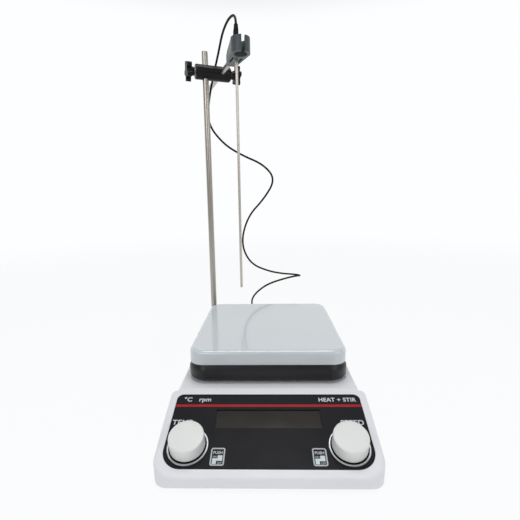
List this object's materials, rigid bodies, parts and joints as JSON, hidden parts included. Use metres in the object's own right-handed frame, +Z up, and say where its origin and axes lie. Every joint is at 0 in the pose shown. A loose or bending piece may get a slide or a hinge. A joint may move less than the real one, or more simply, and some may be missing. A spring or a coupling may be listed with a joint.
{
  "type": "magnetic hotplate stirrer",
  "caption": "Bench magnetic stirrer with a heated square plate, sloped control panel, support rod, clamp and cabled temperature probe.",
  "frame": {"origin": "on the bench under the centre of the plate, on the stirring axis", "axes": "+Z up, +X to the user's right, -Y towards the user and the control panel"},
  "size_m": [0.2397, 0.4216, 0.514],
  "materials": {
    "housing_white": "powder-coated, light eggshell texture",
    "pan_grey": "grey powder-coated sheet steel",
    "foot_rubber": "matt moulded rubber",
    "screw_steel": "zinc-plated",
    "overlay_black": "printed polyester film, fine satin grain",
    "window_smoke": "smoked acrylic",
    "display_black": "display module",
    "ring_silver": "bright turned ring",
    "board_green": "circuit board with solder mask",
    "encoder_steel": "stamped steel housing",
    "knob_white": "off-white satin moulding",
    "plate_white": "bluish white glaze",
    "heater_metal": "oxidised steel sheath",
    "insulation_fibre": "pressed mineral fibre",
    "shroud_black": "black baked enamel, semi-gloss",
    "post_steel": "machined steel",
    "motor_steel": "pressed steel",
    "bearing_steel": "ground bearing steel",
    "copper_winding": "enamelled copper winding on laminations",
    "holder_aluminium": "turned",
    "magnet_grey": "nickel-plated magnet",
    "transformer_core": "laminated core with varnish",
    "capacitor_sleeve": "shrink sleeve",
    "heat_sink_aluminium": "extruded",
    "connector_black": "moulded, fine spark texture",
    "pin_nickel": "nickel-plated brass",
    "rocker_black": "moulded",
    "socket_nickel": "nickel-plated",
    "rod_steel": "polished stainless rod",
    "arm_steel": "drawn stainless rod",
    "clamp_black": "black satin coating on aluminium",
    "stud_zinc": "zinc-plated thread",
    "grip_black": "moulded phenolic",
    "holder_grey": "bluish grey moulding",
    "probe_steel": "stainless sheath",
    "handle_black": "ribbed moulding",
    "cable_black": "satin cable jacket"
  },
  "bodies": {
    "base": {"base_pan": "pan_grey", "base_screws": "screw_steel", "board_screws": "screw_steel", "control_board": "board_green", "display_module": "display_black", "display_window": "window_smoke", "encoder_bodies": "encoder_steel", "front_overlay": "overlay_black", "heater_clamp_plate": "heater_metal", "heater_element": "heater_metal", "hot_plate": "plate_white", "inlet_pins": "pin_nickel", "insulation_pad": "insulation_fibre", "knob_trim_rings": "ring_silver", "mains_inlet": "connector_black", "motor_bearings": "bearing_steel", "motor_bracket": "post_steel", "motor_bracket_screws": "screw_steel", "motor_can": "motor_steel", "motor_stator": "copper_winding", "plate_posts": "post_steel", "plate_screws": "screw_steel", "plate_sensor": "heater_metal", "plate_shroud": "shroud_black", "power_board": "board_green", "power_capacitors": "capacitor_sleeve", "power_switch_frame": "connector_black", "power_transformer": "transformer_core", "probe_cable_1": "cable_black", "probe_plug": "handle_black", "probe_socket": "socket_nickel", "rod_socket": "socket_nickel", "rubber_feet": "foot_rubber", "triac_heat_sink": "heat_sink_aluminium", "upper_housing": "housing_white"},
    "stir_rotor": {"stir_shaft": "motor_steel", "motor_rotor": "motor_steel", "magnet_holder": "holder_aluminium", "drive_magnets": "magnet_grey"},
    "temp_button": {"temp_push_plunger": "encoder_steel"},
    "temp_dial": {"temp_encoder_shaft": "encoder_steel", "temp_knob": "knob_white"},
    "speed_button": {"speed_push_plunger": "encoder_steel"},
    "speed_dial": {"speed_encoder_shaft": "encoder_steel", "speed_knob": "knob_white"},
    "switch_rocker": {"power_rocker": "rocker_black"},
    "stand_rod": {"support_rod": "rod_steel", "probe_cable_2": "cable_black"},
    "clamp": {"boss_head": "clamp_black", "probe_cable_3": "cable_black"},
    "rod_stud": {"rod_screw_stud": "stud_zinc"},
    "rod_grip": {"rod_screw_knob": "grip_black"},
    "arm_stud": {"arm_screw_stud": "stud_zinc"},
    "arm_grip": {"arm_screw_knob": "grip_black"},
    "arm": {"arm_rod": "arm_steel", "probe_cable_4": "cable_black"},
    "holder": {"probe_holder": "holder_grey", "probe_cable_5": "cable_black"},
    "probe": {"probe_tube": "probe_steel", "probe_handle": "handle_black"}
  },
  "joints": [
    {"name": "stir_spin", "type": "hinge", "parent": "base", "child": "stir_rotor", "pos_m": [0, 0, 0.035], "axis": [0, 0, 1], "continuous": true},
    {"name": "temp_push", "type": "slide", "parent": "base", "child": "temp_button", "axis": [0, 0.296, -0.9552], "range_m": [0, 0.001], "stiffness_N_per_m": 3000, "springref_m": -0.0003},
    {"name": "temp_turn", "type": "hinge", "parent": "temp_button", "child": "temp_dial", "pos_m": [-0.079, -0.17588, 0.02274], "axis": [0, -0.296, 0.9552], "continuous": true},
    {"name": "speed_push", "type": "slide", "parent": "base", "child": "speed_button", "axis": [0, 0.296, -0.9552], "range_m": [0, 0.001], "stiffness_N_per_m": 3000, "springref_m": -0.0003},
    {"name": "speed_turn", "type": "hinge", "parent": "speed_button", "child": "speed_dial", "pos_m": [0.079, -0.17588, 0.02274], "axis": [0, -0.296, 0.9552], "continuous": true},
    {"name": "power_switch", "type": "hinge", "parent": "base", "child": "switch_rocker", "pos_m": [0.016, 0.142, 0.023], "axis": [1, 0, 0], "range_deg": [-18, 0]},
    {"name": "clamp_swing", "type": "hinge", "parent": "base", "child": "stand_rod", "pos_m": [-0.0948, 0.115, 0.044], "axis": [0, 0, 1], "range_deg": [-45, 45], "deforming": ["probe_cable_1"]},
    {"name": "clamp_height", "type": "slide", "parent": "stand_rod", "child": "clamp", "axis": [0, 0, 1], "range_m": [-0.038, 0.018], "deforming": ["probe_cable_2"]},
    {"name": "rod_screw", "type": "slide", "parent": "clamp", "child": "rod_stud", "axis": [-0.9272, -0.3746, 0], "range_m": [0, 0.003]},
    {"name": "rod_screw_turn", "type": "hinge", "parent": "rod_stud", "child": "rod_grip", "pos_m": [-0.0948, 0.115, 0.4573], "axis": [-0.9272, -0.3746, 0], "range_deg": [0, 1080]},
    {"name": "arm_screw", "type": "slide", "parent": "clamp", "child": "arm_stud", "axis": [0.9272, 0.3746, 0], "range_m": [0, 0.003]},
    {"name": "arm_screw_turn", "type": "hinge", "parent": "arm_stud", "child": "arm_grip", "pos_m": [-0.07162, 0.12437, 0.4573], "axis": [0.9272, 0.3746, 0], "range_deg": [0, 1080]},
    {"name": "arm_slide", "type": "slide", "parent": "clamp", "child": "arm", "axis": [0.3746, -0.9272, 0], "range_m": [-0.025, 0.025], "deforming": ["probe_cable_3"]},
    {"name": "holder_tilt", "type": "hinge", "parent": "arm", "child": "holder", "pos_m": [-0.07162, 0.12437, 0.4573], "axis": [0.3746, -0.9272, 0], "range_deg": [-20, 20], "deforming": ["probe_cable_4"]},
    {"name": "probe_lift", "type": "slide", "parent": "holder", "child": "probe", "axis": [0, 0, 1], "range_m": [0, 0.03], "deforming": ["probe_cable_5"]}
  ],
  "couplings": [
    {"joint": "rod_screw_turn", "follows": "rod_screw", "rad_per_m": 6283.2},
    {"joint": "arm_screw_turn", "follows": "arm_screw", "rad_per_m": 6283.2}
  ]
}
